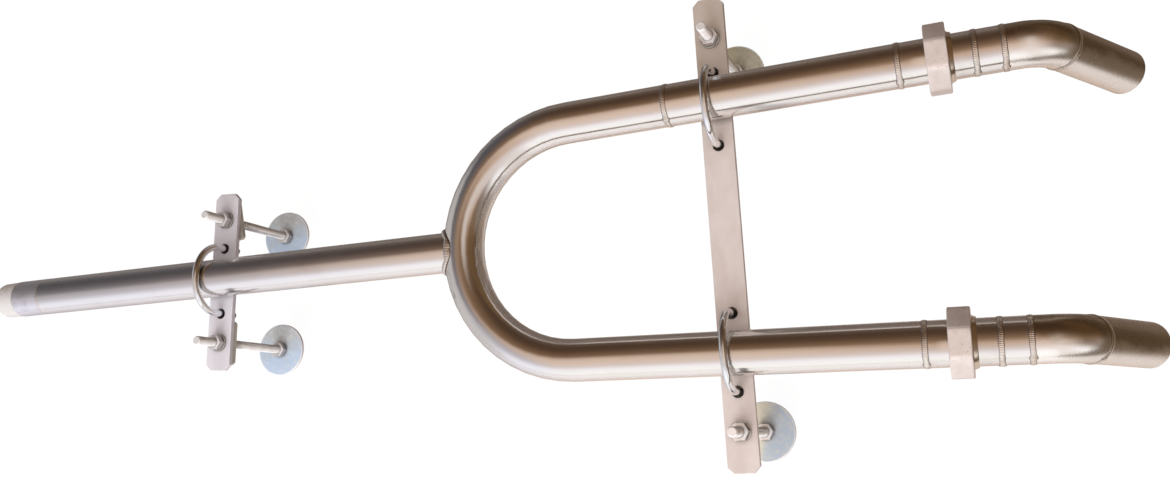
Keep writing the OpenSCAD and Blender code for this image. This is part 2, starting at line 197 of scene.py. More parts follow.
def tubeMaterial():  # drawn tube, its fine lines run lengthwise
    settings = tubeFinish
    s = newShader("satinTube")
    along = s.carried("unbent", 1)
    heat = s.carried("heat", 2)
    lines = s.noise(s.stretch(along, (0.02, 1.0, 1.0)), settings["lineScale"], 4.0, 0.6)
    cloud = s.noise(s.stretch(along, (0.5, 1.0, 1.0)), 38.0, 3.0, 0.6)
    smear = s.noise(s.stretch(along, (1.6, 0.35, 0.35)), 90.0, 2.0, 0.5)
    blotch = s.noise(along, 16.0, 3.0, 0.55)
    colour = s.mix(s.ramp(cloud, 0.52, 0.78) * 0.35, settings["steel"], settings["stain"])
    colour = s.mix(s.ramp(heat, 0.05, 0.55) * 0.45, colour, settings["straw"])
    colour = s.mix(s.ramp(heat, 0.62, 0.95) * 0.5, colour, settings["scorch"])
    rough = settings["roughness"] + (lines - 0.5) * 0.10 + (blotch - 0.5) * 0.12 + (smear - 0.5) * 0.06
    height = lines * 0.6 + smear * 0.4
    return s.finish(colour, 1.0, rough + heat * 0.1, s.bump(height, 0.10))


elbowFinish = {
    "clean": (0.96, 0.94, 0.91),
    "spot": (0.80, 0.73, 0.65),
    # the two brown stains below are partly patina and partly painted shade on the outer side
    "patina": (0.40, 0.32, 0.22),
    "olive": (0.30, 0.26, 0.18),
    "patinaFade": 0.55,  # in half widths
    "halfWidth": 0.0169,
    "roughness": 0.27,
}


def elbowMaterial(name, patinaAndShadeEdge):  # brushed after forming, with a brown stain on its outer side that is partly patina and partly painted shade
    settings = elbowFinish
    s = newShader(name)
    along = s.carried("unbent", 1)
    heat = s.carried("heat", 2)
    outer = s.part(along, 1) / settings["halfWidth"]
    brush = s.noise(s.stretch(along, (1.0, 0.06, 0.06)), 620.0, 4.0, 0.65)
    cloud = s.noise(s.stretch(along, (0.6, 1.0, 1.0)), 55.0, 4.0, 0.6)
    spots = s.noise(along, 150.0, 3.0, 0.6)
    # painted shade, partly patina: the outer side turns brown, then olive at its far edge
    stainedAndShaded = s.ramp(outer + (cloud - 0.5) * 1.2, patinaAndShadeEdge, patinaAndShadeEdge + settings["patinaFade"])
    colour = s.mix(s.ramp(spots, 0.45, 0.7) * 0.12, settings["clean"], settings["spot"])
    colour = s.mix(stainedAndShaded * 0.85, colour, settings["patina"])
    colour = s.mix(s.ramp(outer + (spots - 0.5) * 0.6, 0.45, 0.95) * 0.25, colour, settings["olive"])
    colour = s.mix(s.ramp(heat, 0.1, 0.7) * 0.35, colour, tubeFinish["straw"])
    rough = settings["roughness"] + (brush - 0.5) * 0.03 + (cloud - 0.5) * 0.10
    return s.finish(colour, 1.0, rough, s.bump(cloud, 0.02))


weldFinish = {"crown": (0.86, 0.82, 0.77), "tint": (0.50, 0.38, 0.27), "roughness": 0.16}


def weldMaterial(name, valley):  # valley colours the toes and the ripple's hollows
    settings = weldFinish
    s = newShader(name)
    place = s.place()
    grain = s.noise(place, 900.0)
    patch = s.noise(place, 120.0, 2.0)
    colour = s.mix(s.ramp(s.carried("crest", 2), 0.12, 0.50), valley, settings["crown"])
    colour = s.mix(s.ramp(patch, 0.5, 0.75) * 0.45, colour, settings["tint"])
    return s.finish(colour, 1.0, settings["roughness"] + grain * 0.14, s.bump(grain, 0.15))


turnedFinish = {"steel": (0.80, 0.78, 0.76), "stain": (0.64, 0.60, 0.56), "roughness": 0.12}


def turnedMaterial():
    settings = turnedFinish
    s = newShader("turnedSteel")
    along = s.carried("unbent", 1)
    rings = s.noise(s.stretch(along, (1.0, 0.02, 0.02)), 1800.0, 2.0)
    cloud = s.noise(along, 60.0)
    colour = s.mix(s.ramp(cloud, 0.45, 0.75) * 0.4, settings["steel"], settings["stain"])
    return s.finish(colour, 1.0, settings["roughness"] + rings * 0.08, s.bump(rings, 0.03, 0.0001))


unionShape = {
    "flats": 0.050,
    "cornerBlunt": 0.0005,
    "bluntFrom": 19.5,  # degrees from the middle of a flat
    "octagonLength": 0.0155,
    "edge": 0.0006,
    "hubOver": 0.0012,  # hub's radius over the tube's
    "hubFillet": ((0, 0.0022), (0.0003, 0.0012), (0.001, 0.0007)),  # past the octagon, over the hub
    "hubEdge": 0.0005,
    "play": 0.0003,
    "boreEdge": 0.0003,
    "seatDepth": 0.003,
    "threadRadius": 0.021,
    "mouthOver": 0.0001,
    "mouthEdge": 0.0006,
    "neckFillet": ((-0.0005, 0.0), (0.0006, 0.0004)),  # past the nut's mouth, over the tube
    "headFrom": 0.0010,  # where the threaded head begins
    "headEdge": 0.0008,
    "collarLength": 0.0032,
    "collarEdge": 0.0004,
    "collarFillet": 0.0006,
    "plainRows": (0, 0.002, 0.006),
}

castFinish = {
    "light": (0.80, 0.74, 0.72),
    "dark": (0.70, 0.63, 0.60),
    "pit": (0.40, 0.34, 0.31),
    # hub: a turned finish whose darker brown also paints the band of shade beside the nut
    "hub": (0.72, 0.64, 0.54),
    "metallic": 0.65,
    "roughness": 0.42,
}


def castMaterial():  # cast octagon with a turned hub
    settings = castFinish
    s = newShader("castNut")
    place = s.carried("unbent", 1)
    sand = s.noise(place, 1500.0, 4.0, 0.65)
    pits = s.noise(place, 420.0, 2.0)
    cloud = s.noise(place, 70.0, 3.0, 0.6)
    hubFrom = unionShape["octagonLength"]
    hub = s.ramp(s.part(place, 0), hubFrom - 0.0004, hubFrom + 0.0004)
    colour = s.mix(s.ramp(cloud, 0.35, 0.7), settings["light"], settings["dark"])
    colour = s.mix(s.ramp(pits, 0.62, 0.75) * 0.5, colour, settings["pit"])
    # painted shade, in part: the hub is browner and darker than the octagon
    colour = s.mix(hub, colour, settings["hub"])
    grain = (sand * 0.7 + pits * 0.3) * (1.0 - hub * 0.9)
    metallic = settings["metallic"] + hub * (1 - settings["metallic"])
    rough = settings["roughness"] + sand * 0.16 - hub * 0.30
    return s.finish(colour, metallic, rough, s.bump(grain, 0.35, 0.0003))


barFinishes = {
    "rolledBar": {"light": (0.82, 0.77, 0.765), "dark": (0.73, 0.67, 0.655), "stain": (0.66, 0.59, 0.55),
                  "handled": (0.57, 0.49, 0.40), "metallic": 0.55},
    "greyBar": {"light": (0.69, 0.69, 0.76), "dark": (0.62, 0.61, 0.67), "stain": (0.58, 0.56, 0.60),
                "handled": (0.59, 0.55, 0.55), "metallic": 0.3},
}
# gap is a painted shade colour, laid in by ambient occlusion
barShadeAndFinish = {"gap": (0.26, 0.22, 0.19), "gapReach": 0.009, "roughness": 0.40}


def barMaterial(name):  # rolled flat bar, browner and darker towards its +Y end
    settings = barFinishes[name]
    s = newShader(name)
    place = s.place()
    mill = s.noise(s.stretch(place, (1.0, 0.03, 1.0)), 900.0, 3.0, 0.6)
    cloud = s.noise(s.stretch(place, (1.0, 0.5, 1.0)), 45.0, 4.0, 0.6)
    patch = s.noise(place, 14.0)
    handled = s.ramp(s.part(place, 1) + (cloud - 0.5) * 0.05, 0.04, 0.15)
    colour = s.mix(s.ramp(cloud, 0.35, 0.7), settings["light"], settings["dark"])
    colour = s.mix(s.ramp(patch, 0.45, 0.7) * 0.4, colour, settings["stain"])
    colour = s.mix(handled * 0.55, colour, settings["handled"])
    # painted shade in gaps near studs, bolts and holes, which also stands for dirt smudges there
    colour = s.mix(s.crevice(barShadeAndFinish["gapReach"]) * 0.6, colour, barShadeAndFinish["gap"])
    return s.finish(colour, settings["metallic"], barShadeAndFinish["roughness"] + mill * 0.14, s.bump(mill, 0.14))


plateFinish = {"light": (0.62, 0.62, 0.58), "dark": (0.48, 0.47, 0.43), "metallic": 0.7, "roughness": 0.42}


def plateMaterial():
    settings = plateFinish
    s = newShader("rolledPlate")
    place = s.place()
    mill = s.noise(s.stretch(place, (0.05, 1.0, 1.0)), 700.0, 3.0, 0.6)
    cloud = s.noise(place, 60.0, 3.0, 0.6)
    colour = s.mix(s.ramp(cloud, 0.35, 0.7), settings["light"], settings["dark"])
    return s.finish(colour, settings["metallic"], settings["roughness"] + mill * 0.14, s.bump(mill, 0.16))


nippleShape = {
    "threadLength": 0.019,
    "threadMajor": 0.0166,
    "pitch": 0.00231,
    "depth": 0.64,  # of the pitch
    "taper": 0.03,
    "chamfer": 0.0009,
    "shoulderEdge": 0.0005,
    "mouthEdge": 0.0004,
    "stations": (0.0, 0.0015, 0.004, 0.008, 0.014),  # rows back from the weld
}

# painted shade darkens upright side faces (grime) and gaps (dirt); a thread's cut skin lies before cutEnd
boltFinishes = {
    "brightZinc": {"colour": (0.94, 0.94, 0.95), "metallic": 0.6, "roughness": 0.08,
                   "grime": 0.85, "dirt": 0.9},
    "polishedBolt": {"colour": (0.88, 0.90, 0.93), "metallic": 1.0, "roughness": 0.04,
                     "grime": 0.0, "dirt": 0.7},
    "threadZinc": {"colour": (0.97, 0.98, 1.0), "metallic": 0.6, "roughness": 0.06,
                   "grime": 0.0, "dirt": 0.25},
    "cutSteel": {"colour": (0.72, 0.71, 0.76), "metallic": 0.85, "roughness": 0.18,
                 "grime": 0.0, "dirt": 0.2, "cut": (0.86, 0.865, 0.88),
                 "cutEnd": cadBox[0].x + nippleShape["threadLength"]},
}
# its first two colours are painted shade, for upright faces and for gaps
boltShadeAndCut = {"grime": (0.36, 0.33, 0.31), "dirt": (0.05, 0.045, 0.04), "gapReach": 0.003,
            "cutBlend": 0.0003, "cutDull": 0.5}


def boltMaterial(name):
    settings = boltFinishes[name]
    metallic = settings["metallic"]
    s = newShader(name)
    place = s.place()
    facing = s.add("ShaderNodeNewGeometry", None, None, 1)
    upright = s.ramp(s.part(facing, 2), 0.75, 0.25)
    grain = s.noise(place, 800.0)
    cloud = s.noise(place, 110.0)
    worn = tuple(round(c * 0.75, 3) for c in settings["colour"])
    colour = s.mix(s.ramp(cloud, 0.4, 0.7) * 0.5, settings["colour"], worn)
    # painted shade: faces that stand upright are darkened, as if turned away from the light
    colour = s.mix(upright * settings["grime"], colour, boltShadeAndCut["grime"])
    if "cut" in settings:
        end, blend = settings["cutEnd"], boltShadeAndCut["cutBlend"]
        cut = s.ramp(s.part(place, 0), end + blend, end - blend)
        colour = s.mix(cut, colour, settings["cut"])
        metallic = metallic - cut * boltShadeAndCut["cutDull"]
    # painted shade: gaps found by ambient occlusion are darkened nearly to black
    colour = s.mix(s.crevice(boltShadeAndCut["gapReach"]) * settings["dirt"], colour, boltShadeAndCut["dirt"])
    return s.finish(colour, metallic, settings["roughness"] + grain * 0.12, s.bump(grain, 0.08))


washerShape = {"outside": 0.025, "bore": 0.0042, "roll": 0.0007, "rollRows": 6,
               "edge": 0.0003, "boreEdge": 0.0004}

# each drifts from its first colour to its second along lean, with spangles of the third
zincFinishes = {
    "blueZinc": {"colours": ((0.53, 0.67, 0.86), (0.56, 0.60, 0.62), (0.70, 0.78, 0.86)),
                 "lean": (0, -0.8, 0)},
    "yellowZinc": {"colours": ((0.72, 0.70, 0.58), (0.44, 0.52, 0.62), (0.62, 0.62, 0.56)),
                   "lean": (0, 0.4, 1)},
    "oliveZinc": {"colours": ((0.44, 0.40, 0.28), (0.52, 0.50, 0.40), (0.38, 0.36, 0.28)),
                  "lean": (0, 0, 1)},
}
# rim is a painted highlight colour and gap a painted shade colour
zincLightAndFinish = {"rim": (0.88, 0.89, 0.90), "gap": (0.18, 0.17, 0.16), "gapReach": 0.006,
            "metallic": 0.35, "roughness": 0.30}


def zincMaterial(name):
    first, second, third = zincFinishes[name]["colours"]
    outside = washerShape["outside"]
    s = newShader(name)
    place = s.carried("unbent", 1)
    radius = s.add("ShaderNodeVectorMath", {"operation": "LENGTH"}, {0: s.stretch(place, (0.0, 1.0, 1.0))})
    drift = s.add("ShaderNodeVectorMath", {"operation": "DOT_PRODUCT"},
                  {0: place, 1: zincFinishes[name]["lean"]}) / outside
    cloud = s.noise(place, 60.0, 3.0, 0.6)
    spangle = s.noise(place, 260.0, 2.0, 0.6)
    grain = s.noise(place, 1100.0)
    colour = s.mix(s.ramp(drift + (cloud - 0.5) * 1.5, -0.35, 0.45), first, second)
    colour = s.mix(s.ramp(spangle, 0.46, 0.70) * 0.55, colour, third)
    # painted highlight: a pale ring near the washer's edge, as if its rim catches the light
    colour = s.mix(s.ramp(radius, outside - 0.0012, outside - 0.0004) * 0.8, colour, zincLightAndFinish["rim"])
    # painted shade: gaps round the nut found by ambient occlusion are darkened
    colour = s.mix(s.crevice(zincLightAndFinish["gapReach"]) * 0.7, colour, zincLightAndFinish["gap"])
    return s.finish(colour, zincLightAndFinish["metallic"], zincLightAndFinish["roughness"] + grain * 0.12, s.bump(grain, 0.12))


gasketFinish = {"light": (0.88, 0.87, 0.84), "dark": (0.80, 0.79, 0.75), "roughness": 0.5}


def gasketMaterial():
    settings = gasketFinish
    s = newShader("gasketWhite")
    cloud = s.noise(s.place(), 150.0)
    colour = s.mix(cloud, settings["light"], settings["dark"])
    return s.finish(colour, 0.0, settings["roughness"] + cloud * 0.1, s.bump(cloud, 0.1))


finishes = {  # one for each of the part's material slots
    "tube": tubeMaterial(),
    "weld": weldMaterial("weldBead", (0.14, 0.10, 0.075)),
    "fitting": turnedMaterial(),
    "cast_nut": castMaterial(),
    "bar": barMaterial("rolledBar"),
    "backing_plate": plateMaterial(),
    "fastener": boltMaterial("brightZinc"),
    "foot_washer": zincMaterial("blueZinc"),
    "gasket": gasketMaterial(),
}
greyBar = barMaterial("greyBar")
yellowZinc = zincMaterial("yellowZinc")
oliveZinc = zincMaterial("oliveZinc")
brushedElbow = elbowMaterial("brushedElbow", -0.3)
stainedStub = elbowMaterial("stainedStub", -0.6)
polishedBolt = boltMaterial("polishedBolt")
groundWeld = weldMaterial("groundWeld", (0.60, 0.57, 0.54))
cutSteel = boltMaterial("cutSteel")
threadZinc = boltMaterial("threadZinc")
print("materials made:", len(bpy.data.materials))


def placement(origin, along, up=(0, 0, 1)):  # +X runs along, +Z as near up as it can
    x = np.array(along, float)
    x /= np.linalg.norm(x)
    z = np.array(up, float)
    z -= x * (z @ x)
    z /= np.linalg.norm(z)
    matrix = np.eye(4)
    matrix[:3, 0] = x
    matrix[:3, 1] = np.cross(z, x)
    matrix[:3, 2] = z
    matrix[:3, 3] = origin
    return matrix


def centreOf(node):
    low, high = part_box(node)
    return np.array((low + high) / 2)


def pointsIn(node, matrix):  # a node's corners as seen in a placement
    points = np.array([v.co for v in frame["nodes"][node].data.vertices], float)
    return (points - matrix[:3, 3]) @ matrix[:3, :3]


def extentIn(node, matrix):
    local = pointsIn(node, matrix)
    return local.min(0), local.max(0)


def around(count):  # even angles round a ring
    return np.arange(count) * 2 * math.pi / count


def ringAt(x, radius, angles):  # radius is one number, or one for each angle
    radii = np.broadcast_to(radius, angles.shape)
    return [(x, r * math.sin(a), r * math.cos(a)) for r, a in zip(radii, angles)]


class Shape:  # points and faces gathered for one piece
    def __init__(self):
        self.points = []
        self.faces = []
        self.layers = {}

    def add(self, points, **layers):
        start = len(self.points)
        self.points.extend(tuple(p) for p in points)
        for name, values in layers.items():
            self.layers.setdefault(name, []).extend(values)
        return start

    def rings(self, rings, closed=False, **layers):
        count = len(rings[0])
        start = self.add([p for ring in rings for p in ring], **layers)
        last = len(rings) if closed else len(rings) - 1
        for i in range(last):
            a = start + i * count
            b = start + ((i + 1) % len(rings)) * count
            for j in range(count):
                k = (j + 1) % count
                self.faces.append((a + j, b + j, b + k, a + k))
        return start

    def cap(self, start, count, flip=False):
        face = tuple(range(start, start + count))
        self.faces.append(face[::-1] if flip else face)

    def piece(self, name, node, matrix=None, sharp=35.0, finish=None):
        points = np.array(self.points)
        if matrix is not None:
            points = points @ matrix[:3, :3].T + matrix[:3, 3]
        mesh = bpy.data.meshes.new(name)
        mesh.from_pydata(points.tolist(), [], self.faces)
        for layer, values in self.layers.items():
            if isinstance(values[0], tuple):
                attribute = mesh.attributes.new(layer, "FLOAT_VECTOR", "POINT")
                attribute.data.foreach_set("vector", np.array(values, np.float32).ravel())
            else:
                attribute = mesh.attributes.new(layer, "FLOAT", "POINT")
                attribute.data.foreach_set("value", np.array(values, np.float32))
        body = bmesh.new()
        body.from_mesh(mesh)
        bmesh.ops.remove_doubles(body, verts=body.verts, dist=1e-6)
        bmesh.ops.dissolve_degenerate(body, edges=body.edges, dist=1e-7)
        bmesh.ops.recalc_face_normals(body, faces=body.faces)
        body.to_mesh(mesh)
        body.free()
        mesh.shade_smooth()
        mesh.set_sharp_from_angle(angle=math.radians(sharp))
        addPiece(name, mesh, node, finish)


def addPiece(name, mesh, node, finish=None):  # stands for a CAD node, on its body and slot
    piece = bpy.data.objects.new(name, mesh)
    scene.collection.objects.link(piece)
    mesh.materials.append(finish or finishes[slotOf[node]])
    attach(piece, bodyOf[node])
    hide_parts(node)


tubeShape = {
    "wall": 0.002,
    "segments": 96,
    "rootGap": 0.0015,
    "heatReach": 0.0045,  # how far the weld's heat tint fades along the tube
    "nearWeld": (0.0, 0.0012, 0.0025, 0.004, 0.006, 0.0085, 0.012, 0.017),  # rows beside a weld
    "step": 0.012,  # between the other rows
    "closest": 0.0008,
}
stemLow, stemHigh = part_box("stem_tube")
tubeRadius = (stemHigh.z - stemLow.z) / 2
tubeInside = tubeRadius - tubeShape["wall"]
axisHeight = (stemHigh.z + stemLow.z) / 2
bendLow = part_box("u_bend_tube")[0]
hub = np.array([bendLow.x + tubeRadius, 0.0, axisHeight])  # where the stem's axis meets the bend's
stemPlace = placement(hub, (1, 0, 0))
halfGap = tubeShape["rootGap"] / 2
tubeAngles = around(tubeShape["segments"])


def lathe(shape, profile, closed=True):  # profile of (x, radius) turned about X
    rings = [ringAt(x, radius, tubeAngles) for x, radius in profile]
    shape.rings(rings, closed, unbent=[point for ring in rings for point in ring])


def tubeStations(length, heatEnd=True):  # distances along a tube, closer at its welded ends
    near = tubeShape["nearWeld"]
    steps = max(2, int(length / tubeShape["step"]))
    stations = set(near) | {length * i / steps for i in range(1, steps)}
    stations.update([length - n for n in near] if heatEnd else [length])
    kept = []
    for s in sorted(stations):
        if not kept or s - kept[-1] > tubeShape["closest"]:
            kept.append(s)
    kept[-1] = length
    return kept


def heatAt(s, length, heatEnd=True):
    reach = tubeShape["heatReach"]
    return max(math.exp(-s / reach), math.exp(-(length - s) / reach) if heatEnd else 0.0)


def straightPath(start, along, up=(0, 0, 1)):
    place = placement(start, along, up)
    return lambda s: (place[:3, 3] + s * place[:3, 0], place[:3, 1], place[:3, 2])


def closedTube(outer, inner):  # rows of (ring, marks, heats), out and back inside
    ordered = outer + inner[::-1]
    shape = Shape()
    shape.rings([ring for ring, _, _ in ordered], True,
                unbent=[mark for _, marks, _ in ordered for mark in marks],
                heat=[heat for _, _, heats in ordered for heat in heats])
    return shape


def tubePiece(name, node, path, length, heatEnd=True, waver=None, finish=None):
    count = len(tubeAngles)
    offset = dice.uniform(0, 3)  # so that no two tubes carry the same marks
    outer = []
    inner = []
    for s in tubeStations(length, heatEnd):
        point, across, up = path(s)
        rim = np.outer(np.sin(tubeAngles), across) + np.outer(np.cos(tubeAngles), up)
        swell = np.array([waver(s, a) if waver else 0.0 for a in tubeAngles])
        for radii, store in ((tubeRadius + swell, outer), (np.full(count, tubeInside), inner)):
            ring = point + rim * np.reshape(radii, (-1, 1))
            store.append((ring, ringAt(s + offset, radii, tubeAngles), [heatAt(s, length, heatEnd)] * count))
    closedTube(outer, inner).piece(name, node, finish=finish)


sides = {"left": 1, "right": -1}
arms = {}
for side in sides:  # each arm's line, from the joint of its nut
    joint = joints[side + "_nut_turn"]
    along = np.array(joint["axis"])
    place = placement(joint["pos_m"], along)
    place[:3, 3] += extentIn(side + "_union_nut", place)[0][0] * along  # now at the mouth of the nut
    tipAxis = np.array(mounts[side + "_tip_bore"]["axis"])
    tipPlace = placement(place[:3, 3], along, along * (along @ tipAxis) - tipAxis)
    arms[side] = {"along": along, "nut": place, "tip": tipPlace, "tipAxis": tipAxis}
leftLine = arms["left"]["nut"][:3, 3] - hub
slope = arms["left"]["along"]
# the bend's circle passes through the hub, and each arm's line touches it
bendRadius = (leftLine[1] * slope[0] - leftLine[0] * slope[1]) / (1 - slope[1])
splay = math.asin(slope[1])
bendCentre = hub + np.array([bendRadius, 0, 0])
for side, sign in sides.items():
    arms[side]["start"] = hub + bendRadius * np.array([1 - math.sin(splay), sign * math.cos(splay), 0])


def bendX(angle, radius):  # x of the bend's surface round the stem's axis
    side = radius * math.sin(angle)
    height = radius * math.cos(angle)
    reach = bendRadius + math.sqrt(max(0.0, tubeRadius ** 2 - height ** 2))
    return bendRadius - math.sqrt(reach ** 2 - side ** 2)


def stationOn(side, node):  # how far along the arm a ring-shaped node's middle is
    return float((centreOf(node) - arms[side]["start"]) @ arms[side]["along"])


spliceAt = stationOn("left", "arm_splice_weld")
armEnd = {side: stationOn(side, side + "_union_weld") for side in sides}
legBack = spliceAt - halfGap
arcLength = bendRadius * (math.pi - 2 * splay)
legOn = armEnd["right"] - halfGap
leftOn = armEnd["left"] - spliceAt - 2 * halfGap
bendShape = {"ripple": 0.00010, "pitch": 0.013, "flattening": 0.00025}  # what the bending did to the tube


def bendPath(s):  # left leg, arc, then right leg
    if s < legBack:
        tangent = -arms["left"]["along"]
        point = arms["left"]["start"] - tangent * (legBack - s)
    elif s < legBack + arcLength:
        turn = math.pi / 2 + splay + (s - legBack) / bendRadius
        out = np.array([math.cos(turn), math.sin(turn), 0])
        point = bendCentre + bendRadius * out
        tangent = np.array([-out[1], out[0], 0])
    else:
        tangent = arms["right"]["along"]
        point = arms["right"]["start"] + tangent * (s - legBack - arcLength)
    return point, np.cross((0, 0, 1), tangent), np.array([0, 0, 1.0])


def bendWaver(s, angle):  # faint ripples inside the bend, a little flat outside
    middle = (s - legBack) / arcLength
    if not 0 < middle < 1:
        return 0.0
    ease = math.sin(math.pi * middle) ** 0.5
    inside = max(0.0, math.sin(angle))
    outside = max(0.0, -math.sin(angle))
    ripple = inside * math.sin(2 * math.pi * s / bendShape["pitch"] + 0.8 * math.sin(9 * middle))
    return ease * (bendShape["ripple"] * ripple - bendShape["flattening"] * outside ** 3)


tubePiece("uBendTube", "u_bend_tube", bendPath, legBack + arcLength + legOn, waver=bendWaver)
tubePiece("leftArmTube", "left_arm_tube",
          straightPath(arms["left"]["start"] + slope * (spliceAt + halfGap), slope), leftOn)

for side in sides:  # each tip: sleeve, elbow and open stub
    arm = arms[side]
    along = arm["along"]
    axis = arm["tipAxis"]
    up = arm["tip"][:3, 2]
    tailWeld = centreOf(side + "_tailpiece_weld")
    elbowIn = centreOf(side + "_elbow_inlet_weld")
    elbowOut = centreOf(side + "_elbow_outlet_weld")
    sleeveLength = float((elbowIn - tailWeld) @ along) - 2 * halfGap
    tubePiece(side + "TipSleeve", side + "_tip_sleeve",
              straightPath(tailWeld + along * halfGap, along, up), sleeveLength)
    turn = math.acos(float(along @ axis))
    reach = elbowOut - elbowIn
    elbowRadius = float(-reach @ up) / (1 - math.cos(turn))
    straight = float(reach @ along) - elbowRadius * math.sin(turn)

    def elbowPath(s, start=elbowIn, along=along, up=up, radius=elbowRadius, straight=straight):
        s += halfGap
        a = max(0.0, s - straight) / radius
        point = start + (min(s, straight) + radius * math.sin(a)) * along - radius * (1 - math.cos(a)) * up
        return point, np.cross(up, along), math.sin(a) * along + math.cos(a) * up

    tubePiece(side + "Elbow", side + "_elbow", elbowPath, straight + elbowRadius * turn - 2 * halfGap,
              finish=brushedElbow)
    stubUp = math.sin(turn) * along + math.cos(turn) * up
    stubLow, stubHigh = extentIn(side + "_end_stub", placement(elbowOut, axis, stubUp))
    tubePiece(side + "EndStub", side + "_end_stub",
              straightPath(elbowOut + axis * stubLow[0], axis, stubUp),
              float(stubHigh[0] - stubLow[0]), False, finish=stainedStub)
    arm.update(tailWeld=tailWeld, elbowIn=elbowIn, elbowOut=elbowOut, stubUp=stubUp)
print("tubes swept, bend radius", round(bendRadius, 4))

stemStart = float(stemLow.x - hub[0])
stemSquare = -math.sqrt(tubeRadius ** 2 - tubeInside ** 2)  # where the cope's flat part ends


def stemTube():  # its end is coped to the bend
    length = stemSquare - stemStart
    outer = []
    inner = []
    for s in tubeStations(length):
        for radius, store in ((tubeRadius, outer), (tubeInside, inner)):
            ring = []
            for a in tubeAngles:
                end = min(stemSquare, bendX(a, radius))
                ring.append((stemStart + s * (end - stemStart) / length,
                             radius * math.sin(a), radius * math.cos(a)))
            store.append((ring, ring, [heatAt(s, length)] * len(ring)))
    closedTube(outer, inner).piece("stemTube", "stem_tube", stemPlace)


stemTube()

weldShape = {
    "width": 0.0046,
    "height": 0.0007,
    "sunk": 0.0001,  # toes below the tube's skin
    "rootSunk": 0.0003,
    "rippleStep": 0.00125,  # distance between two ripples round the tube
    "rippleDepth": 0.22,  # share of the height
    "rippleBow": 1.9,  # how far a ripple's ends trail its middle
    "drift": 0.0004,
    "unevenness": 0.22,
    "lapWidth": 0.012,  # of the lump where the bead ends on its start
    "lapWider": 0.35,
    "lapHigher": 0.7,
    "jitter": 0.8,  # of the ripples' spacing
    "rows": 13,
    "perRipple": 5,
}


def wander(waves, size):  # a smooth random line round a ring
    terms = [(n, dice.uniform(0, 2 * math.pi), dice.uniform(0.4, 1.0)) for n in waves]
    return lambda a: size * sum(w * math.sin(n * a + phase) for n, phase, w in terms) / len(terms)


def rippled(dome, wave):  # how high a bead's point stands, and its crest for the finish
    rise = dome * (1 - weldShape["rippleDepth"] * (0.5 - 0.5 * wave))
    return rise, min(1.0, rise * (0.7 + 0.3 * wave))


def weldPiece(name, node, matrix, stop, proud=1.0, finish=None):  # stop is the angle where the bead laps
    settings = weldShape
    ripples = round(2 * math.pi * tubeRadius / settings["rippleStep"])
    angles = around(ripples * settings["perRipple"])
    drift = wander((2, 3, 5, 9), settings["drift"])
    swell = wander((3, 4, 7, 11, 17), settings["unevenness"])
    jitter = wander((5, 8, 13), settings["jitter"])
    rows = []
    crest = []
    for t in np.linspace(-1, 1, settings["rows"]):
        ring = []
        for a in angles:
            near = math.exp(-((a - stop + math.pi) % (2 * math.pi) - math.pi) ** 2 / settings["lapWidth"])
            wide = settings["width"] / 2 * (1 + 0.5 * swell(a) + settings["lapWider"] * near)
            tall = proud * settings["height"] * (1 + swell(a) + settings["lapHigher"] * near)
            wave = math.cos(ripples * a + settings["rippleBow"] * t * t + jitter(a))
            rise, top = rippled(max(0.0, 1 - t * t) ** 0.75, wave)
            radius = tubeRadius - settings["sunk"] + tall * rise
            ring.append((drift(a) + wide * t, radius * math.sin(a), radius * math.cos(a)))
            crest.append(top)
        rows.append(ring)
    rootTop = tubeRadius - settings["rootSunk"]
    for x, radius in ((halfGap, rootTop), (halfGap, tubeInside), (-halfGap, tubeInside), (-halfGap, rootTop)):
        rows.append(ringAt(x, radius, angles))
        crest.extend([0.6] * len(angles))
    shape = Shape()
    shape.rings(rows, True, crest=crest)
    shape.piece(name, node, matrix, sharp=60.0, finish=finish)


weldPiece("nippleWeld", "nipple_weld", placement(centreOf("nipple_weld"), (1, 0, 0)), -1.2, 0.25, groundWeld)
weldPiece("armSpliceWeld", "arm_splice_weld", placement(centreOf("arm_splice_weld"), slope), -1.0)
for side in sides:
    arm = arms[side]
    up = arm["tip"][:3, 2]
    weldPiece(side + "UnionWeld", side + "_union_weld",
              placement(centreOf(side + "_union_weld"), arm["along"]), -1.1)
    for label, node, at, axis, outward in (
            ("TailpieceWeld", "_tailpiece_weld", arm["tailWeld"], arm["along"], up),
            ("ElbowInletWeld", "_elbow_inlet_weld", arm["elbowIn"], arm["along"], up),
            ("ElbowOutletWeld", "_elbow_outlet_weld", arm["elbowOut"], arm["tipAxis"], arm["stubUp"])):
        weldPiece(side + label, side + node, placement(at, axis, outward), dice.uniform(-1.6, -0.7))

saddleShape = {
    "reach": 0.0030,
    "height": 0.0011,
    "rootSunk": 0.0006,
    "rootLap": 0.0004,
    "unevenness": 0.2,
    "stations": 420,
    "rows": 10,
    "ripples": 84,
}


